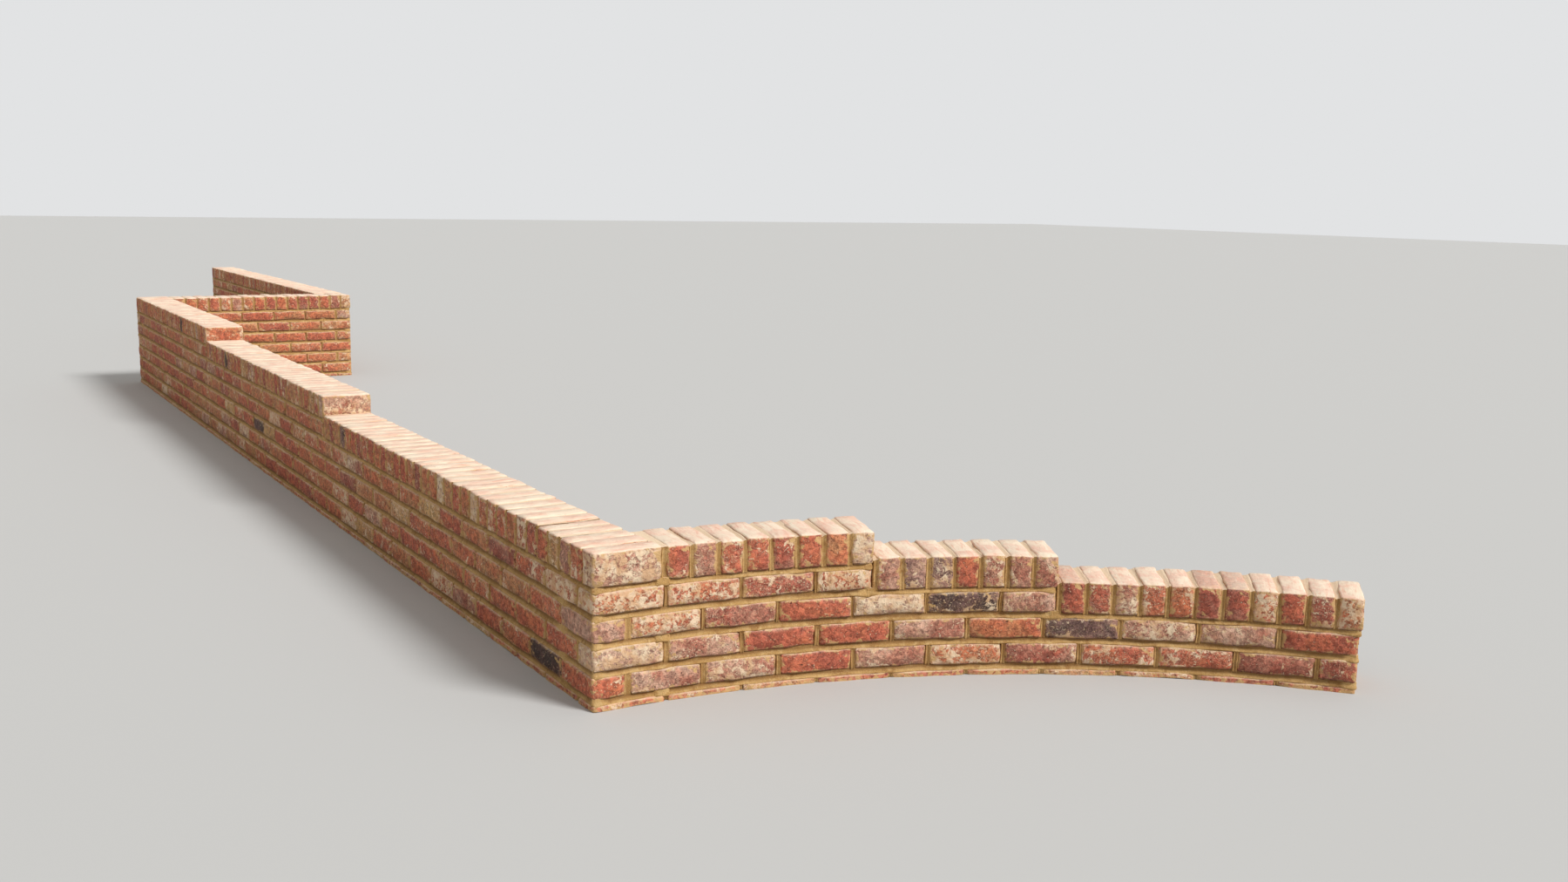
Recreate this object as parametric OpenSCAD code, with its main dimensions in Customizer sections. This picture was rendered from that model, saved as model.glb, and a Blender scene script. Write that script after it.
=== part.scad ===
// Brick garden wall, one brick thick, with a brick-on-edge coping that steps down in bays.
// A long straight wall meets a curved wall at a square corner and returns at its far end.
// The origin is at ground level, where the centre lines of the long and the curved wall meet.
// The long wall runs along +Y and the curved wall starts along +X and bends towards -Y.

/* [Brick] */
// Length of a brick, which is also the thickness of the wall
brick_length = 215; // [190:1:250]
// Width of a brick, which is the height of the brick-on-edge coping
brick_width = 102.5; // [90:0.5:120]
// Height of a brick in a course
brick_height = 66; // [50:1:80]
// Thickness of a mortar joint
mortar_joint = 15; // [8:1:20]

/* [Courses] */
// Courses under the coping at the corner: each bay of the long wall has one more, of the curved wall one less
corner_courses = 4; // [3:1:6]
// What shows above the ground of the course that the wall starts from
base_height = 18; // [5:1:60]

/* [Long wall] */
// Length of the bay beside the corner, in bricks with their joints
near_bay = 12; // [4:1:20]
// Length of the middle bay, in bricks with their joints
middle_bay = 11; // [3:1:20]
// Length of the far bay, in bricks with their joints
far_bay = 11; // [3:1:20]

/* [Curved wall] */
// Radius of the hollow face of the curved wall, which starts at the corner's outer edge
curve_radius = 2630; // [2000:10:4000]
// Coping bricks on the high bay, beside the corner brick
high_headers = 8; // [4:1:14]
// Coping bricks on the middle bay
middle_headers = 7; // [3:1:14]
// Coping bricks on the low bay
low_headers = 11; // [3:1:16]

/* [Far end] */
// Length of the return wall over both its corners
return_length = 1480; // [800:10:3000]
// Length of the back wall with its corner
back_length = 4120; // [1000:10:6000]

/* [Hidden] */
$fn = 360;
wall_thickness = brick_length;
half = wall_thickness / 2;
stretcher = brick_length + mortar_joint;
header = brick_height + mortar_joint;
course = brick_height + mortar_joint;
coping_height = mortar_joint + brick_width;
top_courses = corner_courses + 2;

// Where the bays of the long wall begin, and where it ends
long_steps = [-half, -half + near_bay * stretcher, -half + (near_bay + middle_bay) * stretcher];
long_end = long_steps[2] + far_bay * stretcher - mortar_joint;

// Centre of the curve, and its reach in front of the corner where it leaves the long wall's inner face
curve_centre = [-half, -half - curve_radius];
curve_dip = curve_radius - sqrt(curve_radius * curve_radius - wall_thickness * wall_thickness);

// How far round the curve each bay of the curved wall ends, after the long side of the corner brick
function turn_after(headers) = (brick_length + headers * header) / curve_radius * 180 / PI;
curved_ends = [
    turn_after(high_headers),
    turn_after(high_headers + middle_headers),
    turn_after(high_headers + middle_headers + low_headers)
];

// The return wall's outer end, and where the back wall stops
return_end = -half + return_length;
back_end = long_end - wall_thickness + back_length;

// Underside of a course with its bed joint: course 0 is the one that the wall starts from
function course_bottom(n) = n == 0 ? 0 : base_height + (n - 1) * course;
function course_height(n) = n == 0 ? base_height : course;

// Bricks lap at the corners, so each corner belongs to one wall in even courses and to the other in odd ones
function is_odd(n) = n % 2 == 1;
function long_stop(n) = is_odd(n) ? long_end : long_end - wall_thickness;
function curved_stop(n) = curved_ends[min(2, corner_courses - n)];
function return_start(n) = is_odd(n) ? half : -half;
function return_stop(n) = is_odd(n) ? return_end : return_end - wall_thickness;
function back_start(n) = is_odd(n) ? long_end : long_end - wall_thickness;

// A straight run of the long wall or of the back wall, from one Y to another
module run_along_y(centre_x, from_y, to_y, bottom, height) {
    translate([centre_x - half, from_y, bottom])
        cube([wall_thickness, to_y - from_y, height]);
}

// A straight run of the return wall, from one X to another
module run_along_x(from_x, to_x, bottom, height) {
    translate([from_x, long_end - wall_thickness, bottom])
        cube([to_x - from_x, wall_thickness, height]);
}

// A run of the long wall from the corner: it has the corner's hollow face, or stops behind the curved wall
module run_from_corner(has_corner, to_y, bottom, height) {
    difference() {
        run_along_y(0, -half - curve_dip, to_y, bottom, height);
        translate([curve_centre.x, curve_centre.y, bottom - course])
            cylinder(r = curve_radius + (has_corner ? 0 : wall_thickness), h = height + 2 * course);
    }
}

// A run of the curved wall between two turns, measured from the corner
module run_round_curve(from_turn, to_turn, bottom, height) {
    translate([curve_centre.x, curve_centre.y, bottom])
        rotate([0, 0, 90 - to_turn])
            rotate_extrude(angle = to_turn - from_turn)
                translate([curve_radius, 0])
                    square([wall_thickness, height]);
}

// A run of the curved wall from the long wall's inner face
module run_from_long_wall(to_turn, bottom, height) {
    difference() {
        run_round_curve(0, to_turn, bottom, height);
        translate([-wall_thickness, -wall_thickness, bottom - course])
            cube([wall_thickness + half, 2 * wall_thickness, height + 2 * course]);
    }
}

module long_course(n) {
    color("indianred")
        if (n > corner_courses)
            run_along_y(0, long_steps[n - corner_courses], long_stop(n), course_bottom(n), course_height(n));
        else
            run_from_corner(is_odd(n), long_stop(n), course_bottom(n), course_height(n));
}

module curved_course(n) {
    color("sienna")
        if (is_odd(n))
            run_from_long_wall(curved_stop(n), course_bottom(n), course_height(n));
        else
            run_round_curve(0, curved_stop(n), course_bottom(n), course_height(n));
}

module return_course(n) {
    color("brown")
        run_along_x(return_start(n), return_stop(n), course_bottom(n), course_height(n));
}

module back_course(n) {
    color("firebrick")
        run_along_y(return_end - half, back_start(n), back_end, course_bottom(n), course_height(n));
}

// Brick-on-edge coping of one bay of the long wall: bay 0 has the corner
module long_coping(bay) {
    bottom = course_bottom(corner_courses + bay + 1);
    stop = bay == 2 ? long_end : long_steps[bay + 1];
    color("lightsalmon")
        if (bay == 0)
            run_from_corner(true, stop, bottom, coping_height);
        else
            run_along_y(0, long_steps[bay], stop, bottom, coping_height);
}

// Brick-on-edge coping of one bay of the curved wall: bay 0 is beside the corner
module curved_coping(bay) {
    bottom = course_bottom(corner_courses - bay + 1);
    color("darksalmon")
        if (bay == 0)
            run_from_long_wall(curved_ends[0], bottom, coping_height);
        else
            run_round_curve(curved_ends[bay - 1], curved_ends[bay], bottom, coping_height);
}

module return_coping() {
    color("lightsalmon")
        run_along_x(half, return_end, course_bottom(top_courses + 1), coping_height);
}

module back_coping() {
    color("darksalmon")
        run_along_y(return_end - half, long_end, back_end, course_bottom(top_courses + 1), coping_height);
}

long_course(0);  // long_base_course
curved_course(0);  // curved_base_course
return_course(0);  // return_base_course
back_course(0);  // back_base_course
for (n = [1:top_courses]) long_course(n);
for (n = [1:corner_courses]) curved_course(n);
for (n = [1:top_courses]) return_course(n);
for (n = [1:top_courses]) back_course(n);
long_coping(0);  // long_near_coping
long_coping(1);  // long_middle_coping
long_coping(2);  // long_far_coping
curved_coping(0);  // curved_high_coping
curved_coping(1);  // curved_middle_coping
curved_coping(2);  // curved_low_coping
return_coping();
back_coping();
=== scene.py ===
import math
import random

import bmesh
import bpy
from mathutils import Matrix, Vector


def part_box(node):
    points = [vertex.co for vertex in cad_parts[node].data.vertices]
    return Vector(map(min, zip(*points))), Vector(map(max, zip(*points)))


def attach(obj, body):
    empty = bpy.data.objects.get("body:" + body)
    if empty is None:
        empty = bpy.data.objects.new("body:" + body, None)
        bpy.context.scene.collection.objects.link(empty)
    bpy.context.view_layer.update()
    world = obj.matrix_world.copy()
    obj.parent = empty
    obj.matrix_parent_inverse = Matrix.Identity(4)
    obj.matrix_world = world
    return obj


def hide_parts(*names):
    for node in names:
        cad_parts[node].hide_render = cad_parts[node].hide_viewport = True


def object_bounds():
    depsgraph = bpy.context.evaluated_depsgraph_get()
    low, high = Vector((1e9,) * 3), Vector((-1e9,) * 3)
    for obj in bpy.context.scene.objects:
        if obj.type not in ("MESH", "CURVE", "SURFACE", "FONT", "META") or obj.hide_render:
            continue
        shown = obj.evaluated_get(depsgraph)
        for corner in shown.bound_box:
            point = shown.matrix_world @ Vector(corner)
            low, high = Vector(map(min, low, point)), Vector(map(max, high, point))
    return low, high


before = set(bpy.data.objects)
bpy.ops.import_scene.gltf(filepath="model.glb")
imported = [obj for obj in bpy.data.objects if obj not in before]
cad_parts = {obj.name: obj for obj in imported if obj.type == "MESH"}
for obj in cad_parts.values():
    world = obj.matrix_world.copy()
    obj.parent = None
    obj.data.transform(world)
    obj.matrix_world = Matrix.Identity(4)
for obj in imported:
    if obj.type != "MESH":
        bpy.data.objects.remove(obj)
cad_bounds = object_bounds()
bpy.ops.object.select_all(action="DESELECT")


# The stand for the picture: a plain pale floor, the photograph's view, one wide soft lamp
# high in front of the curved wall, and a pale surround that is brighter overhead.
def srgb(red, green, blue):
    """A colour written as 0 to 255, as Blender's nodes take it."""
    levels = [value / 255 for value in (red, green, blue)]
    linear = [v / 12.92 if v <= 0.04045 else ((v + 0.055) / 1.055) ** 2.4 for v in levels]
    return (*linear, 1.0)


def put(tree, kind, settings=None, **inputs):
    """Adds a shader node. An input is set or linked, and is named by its label or by _ and its number."""
    node = tree.nodes.new(kind)
    for name, value in (settings or {}).items():
        setattr(node, name, value)
    for name, value in inputs.items():
        numbered = name[1:].isdigit()
        socket = node.inputs[int(name[1:]) if numbered else name.replace("_", " ")]
        if isinstance(value, bpy.types.NodeSocket):
            tree.links.new(value, socket)
        else:
            socket.default_value = value
    return node


def new_material(name):
    """A new material, with its node tree and its shader."""
    material = bpy.data.materials.new(name)
    material.use_nodes = True
    return material, material.node_tree, material.node_tree.nodes["Principled BSDF"]


CAMERA_PLACE = Vector((-1.7057, -3.58303, 1.42391))
CAMERA_YAW = 0.56623
CAMERA_PITCH = 0.16889
CAMERA_ROLL = 0.01945
CAMERA_LENS = 32.949
SENSOR_WIDE = 36
VIEW_REACH = 200
ahead = Vector((
    math.sin(CAMERA_YAW) * math.cos(CAMERA_PITCH),
    math.cos(CAMERA_YAW) * math.cos(CAMERA_PITCH),
    -math.sin(CAMERA_PITCH),
))
level_right = Vector((math.cos(CAMERA_YAW), -math.sin(CAMERA_YAW), 0))
level_up = level_right.cross(ahead)
picture_right = math.cos(CAMERA_ROLL) * level_right + math.sin(CAMERA_ROLL) * level_up
picture_up = math.cos(CAMERA_ROLL) * level_up - math.sin(CAMERA_ROLL) * level_right
bpy.ops.object.camera_add(location=CAMERA_PLACE)
camera = bpy.context.object
camera.name = "camera"
camera.matrix_world = Matrix.Translation(CAMERA_PLACE) @ Matrix(
    (picture_right, picture_up, -ahead)
).transposed().to_4x4()
camera.data.sensor_width = SENSOR_WIDE
camera.data.lens = CAMERA_LENS
camera.data.clip_end = VIEW_REACH
bpy.context.scene.camera = camera
bpy.context.scene.view_settings.view_transform = "Standard"

LAMP_FROM = Vector((0.34, -0.67, 0.66))
LAMP_AWAY = 8
LAMP_STRENGTH = 2.9
LAMP_WIDTH = math.radians(18)
bpy.ops.object.light_add(type="SUN", location=LAMP_FROM * LAMP_AWAY)
lamp = bpy.context.object
lamp.name = "soft_lamp"
lamp.rotation_euler = LAMP_FROM.to_track_quat("Z", "Y").to_euler()
lamp.data.energy = LAMP_STRENGTH
lamp.data.angle = LAMP_WIDTH

SURROUND_LEVEL = 0.164
SURROUND_RISE = 0.402
SURROUND_LIGHT = (1.0, 0.975, 0.945, 1.0)
SURROUND_SEEN = srgb(226, 227, 228)
surround = bpy.data.worlds.new("Pale surround")
surround.use_nodes = True
bpy.context.scene.world = surround
surround_tree = surround.node_tree
surround_tree.nodes.clear()
surround_way = put(surround_tree, "ShaderNodeTexCoord").outputs["Generated"]
way_up = put(surround_tree, "ShaderNodeSeparateXYZ", _0=surround_way).outputs["Z"]
clamped_sum = {"operation": "MULTIPLY_ADD", "use_clamp": True}
surround_level = put(
    surround_tree, "ShaderNodeMath", clamped_sum, _0=way_up, _1=SURROUND_RISE, _2=SURROUND_LEVEL
).outputs[0]
surround_light = put(
    surround_tree, "ShaderNodeBackground", Color=SURROUND_LIGHT, Strength=surround_level
).outputs[0]
surround_seen = put(surround_tree, "ShaderNodeBackground", Color=SURROUND_SEEN, Strength=1.0).outputs[0]
ray = put(surround_tree, "ShaderNodeLightPath").outputs
seen_or_mirrored = put(
    surround_tree, "ShaderNodeMath", {"operation": "MAXIMUM"},
    _0=ray["Is Camera Ray"], _1=ray["Is Glossy Ray"],
).outputs[0]
surround_mix = put(
    surround_tree, "ShaderNodeMixShader", _0=seen_or_mirrored, _1=surround_light, _2=surround_seen
).outputs[0]
put(surround_tree, "ShaderNodeOutputWorld", Surface=surround_mix)

FLOOR_WIDE = 120
FLOOR_MIDDLE = (0, 5, 0)
FLOOR_PALE = srgb(200, 200, 198)
FLOOR_ROUGH = 0.9
bpy.ops.mesh.primitive_plane_add(size=FLOOR_WIDE, location=FLOOR_MIDDLE)
floor = bpy.context.object
floor.name = "floor"
bpy.ops.object.transform_apply(location=True, rotation=True, scale=True)
floor_paint, _, floor_shader = new_material("Pale floor")
floor_shader.inputs["Base Color"].default_value = FLOOR_PALE
floor_shader.inputs["Roughness"].default_value = FLOOR_ROUGH
floor.data.materials.append(floor_paint)
bpy.ops.object.select_all(action="DESELECT")


# The course that the wall starts from: a row of stock bricks of which the top 18 mm shows.
# The bricks are of fired red clay, tumbled so that their edges are worn round and uneven, and they
# are bedded in yellow sand mortar, raked with a round iron.
BRICK_LONG = 0.215
BRICK_WIDE = 0.1025
BRICK_HIGH = 0.066
MORTAR_JOINT = 0.015
BRICK_PITCH = BRICK_LONG + MORTAR_JOINT
COURSE_PITCH = BRICK_HIGH + MORTAR_JOINT
BASE_HIGH = 0.018
# Courses under the coping: at the curved wall's plain end, at the corner, and at the far end
LOW_COURSES, CORNER_COURSES, TOP_COURSES = 2, 4, 6
WALL_THICK = BRICK_LONG
HALF_WALL = WALL_THICK / 2
CURVE_RADIUS = 2.63
CURVE_CENTRE = Vector((-HALF_WALL, -HALF_WALL - CURVE_RADIUS, 0))
LONG_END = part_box("long_course_1")[1].y
RETURN_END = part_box("return_course_1")[1].x
BACK_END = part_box("back_course_1")[1].y
ARRIS = 0.0072
WORN_SHARE = 0.9
FACE_SET_BACK = 0.003
KILN_WARP = 0.0085
WARP_SIZE = 0.055
CHIP_DEPTH = 0.0055
BASE_CHIP_DEPTH = 0.002
CHIP_SIZE = 0.028
CHIP_CONTRAST = 2.2
CHIP_LEVEL = 0.75
SOFT_BELOW = math.radians(55)
TOUCHING = 0.001
# Where the tumbled copies lie in the cloudy patterns: the first one's place and the step to the next
CLAY_PLACES = ((1.3, 3.7), (0, 2.1), (0.7, 1.9))
# Which axes of a shape are the brick's length, width and height
ALONG_FACE, INTO_WALL, ON_EDGE = (0, 1, 2), (1, 0, 2), (1, 2, 0)
mason = random.Random(41)


def select_where(kind, wanted):
    """In edit mode, selects just the edges or faces that pass the test."""
    bpy.ops.mesh.select_mode(type=kind)
    bpy.ops.mesh.select_all(action="DESELECT")
    shaped = bmesh.from_edit_mesh(bpy.context.object.data)
    for part in shaped.edges if kind == "EDGE" else shaped.faces:
        part.select_set(wanted(part))
    bmesh.update_edit_mesh(bpy.context.object.data)


def new_block(middle, size):
    """Adds a block at its size and place, as the only thing that is selected."""
    bpy.ops.object.select_all(action="DESELECT")
    bpy.ops.mesh.primitive_cube_add(size=1, location=middle, scale=size)
    bpy.ops.object.transform_apply(location=True, rotation=True, scale=True)
    return bpy.context.object


def copy_of(pattern, name):
    """A copy of the pattern with its own mesh."""
    copy = bpy.data.objects.new(name, pattern.data.copy())
    bpy.context.collection.objects.link(copy)
    return copy


def cut_across(axis, places):
    """In edit mode, cuts the whole shape by planes at these places on the axis."""
    normal = [float(number == axis) for number in range(3)]
    for place in places:
        bpy.ops.mesh.select_all(action="SELECT")
        bpy.ops.mesh.bisect(plane_co=[place * n for n in normal], plane_no=normal)


def mark_clay(brick, size, long_axis, wide_axis, high_axis):
    """Keeps on each point its place in the brick, and how far it is from the nearest edge of its face."""
    shape = brick.data
    shape.attributes.new("clay", "FLOAT_VECTOR", "POINT")
    shape.attributes.new("rim", "FLOAT", "POINT")
    clay = shape.attributes["clay"].data
    rim = shape.attributes["rim"].data
    middle = Vector((0, size[1] / 2, size[2] / 2))
    for number, point in enumerate(shape.vertices):
        place = point.co - middle
        clay[number].vector = (place[long_axis], place[wide_axis], place[high_axis])
        rim[number].value = sorted(max(size[k] / 2 - abs(place[k]), 0) for k in range(3))[1]


def clouds(name, size, contrast=1.0, kind="COLOR"):
    """A cloudy pattern: a coloured one moves a surface all ways, and a grey one in and out."""
    pattern = bpy.data.textures.new(name, "CLOUDS")
    pattern.cloud_type = kind
    pattern.noise_scale = size
    pattern.contrast = contrast
    return pattern


def uneven(piece, pattern, strength, level=0.5, group=""):
    """Makes the surface of the active piece uneven by a cloudy pattern."""
    push = piece.modifiers.new(pattern.name, "DISPLACE")
    push.texture = pattern
    push.texture_coords = "LOCAL"
    push.direction = "RGB_TO_XYZ" if pattern.cloud_type == "COLOR" else "NORMAL"
    push.vertex_group = group
    push.strength = strength
    push.mid_level = level
    bpy.ops.object.modifier_apply(modifier=push.name)


kiln_warp = clouds("Kiln warp", WARP_SIZE)
edge_chips = clouds("Edge chips", CHIP_SIZE, CHIP_CONTRAST, "GRAYSCALE")


def tumble(pattern, name, number, chip):
    """A copy of the brick with its own warp and worn edges, as each comes from the tumbler."""
    brick = copy_of(pattern, f"{name}_{number}")
    bpy.ops.object.select_all(action="DESELECT")
    brick.select_set(True)
    bpy.context.view_layer.objects.active = brick
    away = Matrix.Translation([first + step * number for first, step in CLAY_PLACES])
    brick.data.transform(away)
    worn = brick.vertex_groups.new(name="worn edges")
    rim = brick.data.attributes["rim"].data
    worn.add([n for n in range(len(rim)) if rim[n].value < ARRIS * WORN_SHARE], 1.0, "REPLACE")
    uneven(brick, kiln_warp, KILN_WARP)
    uneven(brick, edge_chips, chip, CHIP_LEVEL, "worn edges")
    brick.vertex_groups.clear()
    brick.data.transform(away.inverted())
    bpy.ops.object.shade_smooth_by_angle(angle=SOFT_BELOW)
    return brick


def model_brick(name, size, rounded, cuts, lies, copies, chip=CHIP_DEPTH, arris=ARRIS):
    """Models a brick from a block: rounds its edges, cuts its faces finer, and tumbles its copies."""
    pattern = new_block((0, size[1] / 2, size[2] / 2), size)
    bpy.ops.object.mode_set(mode="EDIT")
    select_where("EDGE", rounded)
    bpy.ops.mesh.bevel(offset=arris, segments=2, profile=0.5, affect="EDGES")
    for axis, places in enumerate(cuts):
        cut_across(axis, places)
    bpy.ops.object.mode_set(mode="OBJECT")
    mark_clay(pattern, size, *lies)
    made = [tumble(pattern, name, number, chip) for number in range(copies)]
    bpy.data.objects.remove(pattern)
    return made


def middle_of(edge):
    return (edge.verts[0].co + edge.verts[1].co) / 2


def touches_front(edge):
    return min(v.co.y for v in edge.verts) < TOUCHING


def every_edge(edge):
    return True


def above_foot(edge):
    return max(v.co.z for v in edge.verts) > TOUCHING


cuts_along = [BRICK_LONG * share for share in (-0.3, -0.1, 0.1, 0.3)]
cuts_inward = [place + BRICK_LONG / 2 for place in cuts_along]
half_cuts = [-0.016, 0.016]
base_stretchers = model_brick(
    "base_stretcher",
    (BRICK_LONG, BRICK_WIDE, BASE_HIGH),
    rounded=lambda edge: touches_front(edge) and above_foot(edge) and middle_of(edge).y < TOUCHING,
    cuts=(cuts_along, [], []),
    lies=ALONG_FACE,
    copies=4,
    chip=BASE_CHIP_DEPTH,
)
base_corners = model_brick(
    "base_corner",
    (BRICK_LONG, BRICK_WIDE, BASE_HIGH),
    rounded=above_foot,
    cuts=(cuts_along, [BRICK_WIDE / 2], []),
    lies=ALONG_FACE,
    copies=2,
    chip=BASE_CHIP_DEPTH,
)
stretchers = model_brick(
    "stretcher",
    (BRICK_LONG, BRICK_WIDE, BRICK_HIGH),
    rounded=touches_front,
    cuts=(cuts_along, [], [BRICK_HIGH / 2]),
    lies=ALONG_FACE,
    copies=9,
)
corner_stretchers = model_brick(
    "corner_stretcher",
    (BRICK_LONG, BRICK_WIDE, BRICK_HIGH),
    rounded=every_edge,
    cuts=(cuts_along, [BRICK_WIDE / 2], [BRICK_HIGH / 2]),
    lies=ALONG_FACE,
    copies=4,
)
half_bricks = model_brick(
    "half_brick",
    (BRICK_WIDE, BRICK_WIDE, BRICK_HIGH),
    rounded=touches_front,
    cuts=(half_cuts, [], [BRICK_HIGH / 2]),
    lies=INTO_WALL,
    copies=4,
)
through_headers = model_brick(
    "through_header",
    (BRICK_WIDE, BRICK_LONG, BRICK_HIGH),
    rounded=every_edge,
    cuts=([0], cuts_inward, [BRICK_HIGH / 2]),
    lies=INTO_WALL,
    copies=3,
)

# How hard a brick was fired, from buff through red and maroon to burnt, how much lime is on it,
# and how often the mason picks such a brick from the redder pack and from the paler one.
BRICK_KINDS = {
    "buff": (0.04, 0.50, 2, 3),
    "orange": (0.25, 0.12, 18, 10),
    "red": (0.36, 0.08, 20, 14),
    "mottled red": (0.34, 0.42, 9, 12),
    "deep red": (0.47, 0.18, 8, 9),
    "bare red": (0.46, -0.20, 0, 0),
    "maroon": (0.56, 0.26, 6, 9),
    "mauve": (0.67, 0.26, 2.5, 9),
    "mottled mauve": (0.64, 0.52, 2, 9),
    "creamy": (0.30, 0.86, 1.6, 9),
    "brown": (0.19, 0.24, 16, 8),
    "pink": (0.70, 0.80, 0.7, 4),
    "purple": (0.86, 0.32, 0.5, 3),
    "burnt": (0.96, 0.20, 0.4, 1),
    "white": (0.76, 1.60, 0.5, 1),
}
REDDER_PACK, PALER_PACK = 2, 3
FIRING_SPREAD = 0.04
LIME_SPREAD = 0.12
PATTERN_REACH = 40
pack_in_use = REDDER_PACK


def pick_kind(chosen=None):
    """How hard the next brick was fired and how limy it is."""
    names = list(BRICK_KINDS)
    weights = [BRICK_KINDS[name][pack_in_use] for name in names]
    drawn = mason.choices(names, weights)[0]
    firing, lime = BRICK_KINDS[chosen or drawn][:2]
    firing += mason.uniform(-FIRING_SPREAD, FIRING_SPREAD)
    return firing, max(lime + mason.uniform(-LIME_SPREAD, LIME_SPREAD), min(lime, 0))


def set_brick(pattern, place, laid, kind=None, stretch=(1, 1, 1)):
    """Lays one brick: a copy of a tumbled one, with its own firing, lime and pattern."""
    brick = copy_of(pattern, "brick")
    count = len(brick.data.vertices)
    firing, lime = pick_kind(kind)
    offset = [mason.uniform(-PATTERN_REACH, PATTERN_REACH) for _ in range(3)]
    places = [0.0] * (3 * count)
    clay = brick.data.attributes["clay"]
    clay.data.foreach_get("vector", places)
    clay.data.foreach_set("vector", [value + offset[n % 3] for n, value in enumerate(places)])
    for name, value in (("firing", firing), ("lime", lime)):
        brick.data.attributes.new(name, "FLOAT", "POINT")
        brick.data.attributes[name].data.foreach_set("value", [value] * count)
    brick.data.transform(place @ Matrix.Diagonal((*stretch, 1)))
    laid.append(brick)
    return brick


TIP_SHARE = 0.5
ROLL_SHARE = 0.3


def jog(turn=0.5, shift=0.0007):
    """The small error with which a brick is laid by hand: a turn in degrees and a shift in metres."""
    lean = [math.radians(mason.uniform(-turn, turn)) for _ in range(3)]
    slip = [mason.uniform(-shift, shift) for _ in range(3)]
    turned = Matrix.Rotation(lean[2], 4, "Z")
    tipped = Matrix.Rotation(lean[0] * TIP_SHARE, 4, "X")
    rolled = Matrix.Rotation(lean[1] * ROLL_SHARE, 4, "Y")
    return Matrix.Translation(slip) @ turned @ tipped @ rolled


def facing(point, outward, height):
    """Puts a brick with its face at this point, looking outward."""
    inward = Vector((-outward[0], -outward[1], 0)).normalized()
    along = inward.cross(Vector((0, 0, 1)))
    turned = Matrix((along, inward, Vector((0, 0, 1)))).transposed().to_4x4()
    return Matrix.Translation((point[0], point[1], height)) @ turned


def straight_face(start, along, outward):
    """A straight face of a wall: gives the point and outward direction at a distance."""
    start, along, outward = (Vector((*pair, 0)) for pair in (start, along, outward))

    def at(distance, size=0.0):
        return start + along * distance - outward * FACE_SET_BACK, outward

    return at


def away_from_centre(turn):
    """The way straight out from the curve's centre at this turn round it."""
    return Vector((math.sin(turn), math.cos(turn), 0))


def hollow_face(distance, size=0.0):
    """The front face of the curved wall, whose bricks stand as chords inside the curve."""
    away = away_from_centre(distance / CURVE_RADIUS)
    return CURVE_CENTRE + away * (CURVE_RADIUS + FACE_SET_BACK), -away


def round_face(distance, size=0.0):
    """The back face of the curved wall."""
    radius = CURVE_RADIUS + WALL_THICK
    away = away_from_centre(distance / radius)
    chord = math.sqrt(radius * radius - size * size / 4)
    return CURVE_CENTRE + away * (chord - FACE_SET_BACK), away


SHORTEST_CLOSER = 0.045
# Worn bricks reach this far into the joints beside them
INTO_JOINT = 0.0045


def bond(start, stop, first=BRICK_LONG, last=BRICK_LONG):
    """Shares a row out in bricks: returns each one's middle and length, and the joint between them."""
    room = stop - start + MORTAR_JOINT
    ends = (first + MORTAR_JOINT) + (last + MORTAR_JOINT if last else 0)
    count = round((room - ends) / BRICK_PITCH) if last else math.floor((room - ends) / BRICK_PITCH)
    lengths = [first] + [BRICK_LONG] * count
    if last:
        lengths.append(last)
        joint = (room - sum(lengths)) / len(lengths)
    else:
        joint = MORTAR_JOINT
        rest = room - sum(lengths) - joint * len(lengths) - joint
        if rest > SHORTEST_CLOSER:
            lengths.append(rest)
        else:
            joint = (room - sum(lengths)) / len(lengths)
    bricks = []
    reached = start
    for number, length in enumerate(lengths):
        begin = reached - (INTO_JOINT if number > 0 else 0)
        end = reached + length + (INTO_JOINT if number < len(lengths) - 1 else 0)
        bricks.append(((begin + end) / 2, end - begin))
        reached += length + joint
    return bricks, joint - 2 * INTO_JOINT


def join_as(name, parts, material, node):
    """Joins the parts into one piece, which stands in for the CAD node."""
    bpy.ops.object.select_all(action="DESELECT")
    for part in parts:
        part.select_set(True)
    bpy.context.view_layer.objects.active = parts[0]
    bpy.ops.object.join()
    piece = bpy.context.object
    piece.name = name
    piece.data.name = name
    piece.data.materials.clear()
    piece.data.materials.append(material)
    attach(piece, "root")
    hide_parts(node)
    piece.select_set(False)
    return piece


def noise(tree, place, scale, detail=2.0, roughness=0.5, distortion=0.0):
    """The level of a noise pattern at this place."""
    return put(
        tree, "ShaderNodeTexNoise", Vector=place, Scale=scale, Detail=detail,
        Roughness=roughness, Distortion=distortion,
    ).outputs["Fac"]


def reckon(tree, work, a, b=0.0, c=0.0):
    """One step of sums on levels."""
    return put(tree, "ShaderNodeMath", {"operation": work}, _0=a, _1=b, _2=c).outputs[0]


def fade(tree, level, low, high, start=0.0, end=1.0):
    """Turns a level into a soft step between two limits."""
    settings = {"interpolation_type": "SMOOTHSTEP"}
    node = put(
        tree, "ShaderNodeMapRange", settings, Value=level, From_Min=low, From_Max=high,
        To_Min=start, To_Max=end,
    )
    return node.outputs["Result"]


def tint(tree, share, under, over, mode="MIX"):
    """Lays one colour over another."""
    settings = {"data_type": "RGBA", "blend_type": mode}
    return put(tree, "ShaderNodeMix", settings, _0=share, _6=under, _7=over).outputs[2]


def times(tree, a, b):
    """The product of two levels."""
    return reckon(tree, "MULTIPLY", a, b)


def kept_on_points(tree, name, output="Fac"):
    """What the mesh keeps on its points under this name."""
    return put(tree, "ShaderNodeAttribute", {"attribute_name": name}).outputs[output]


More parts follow.
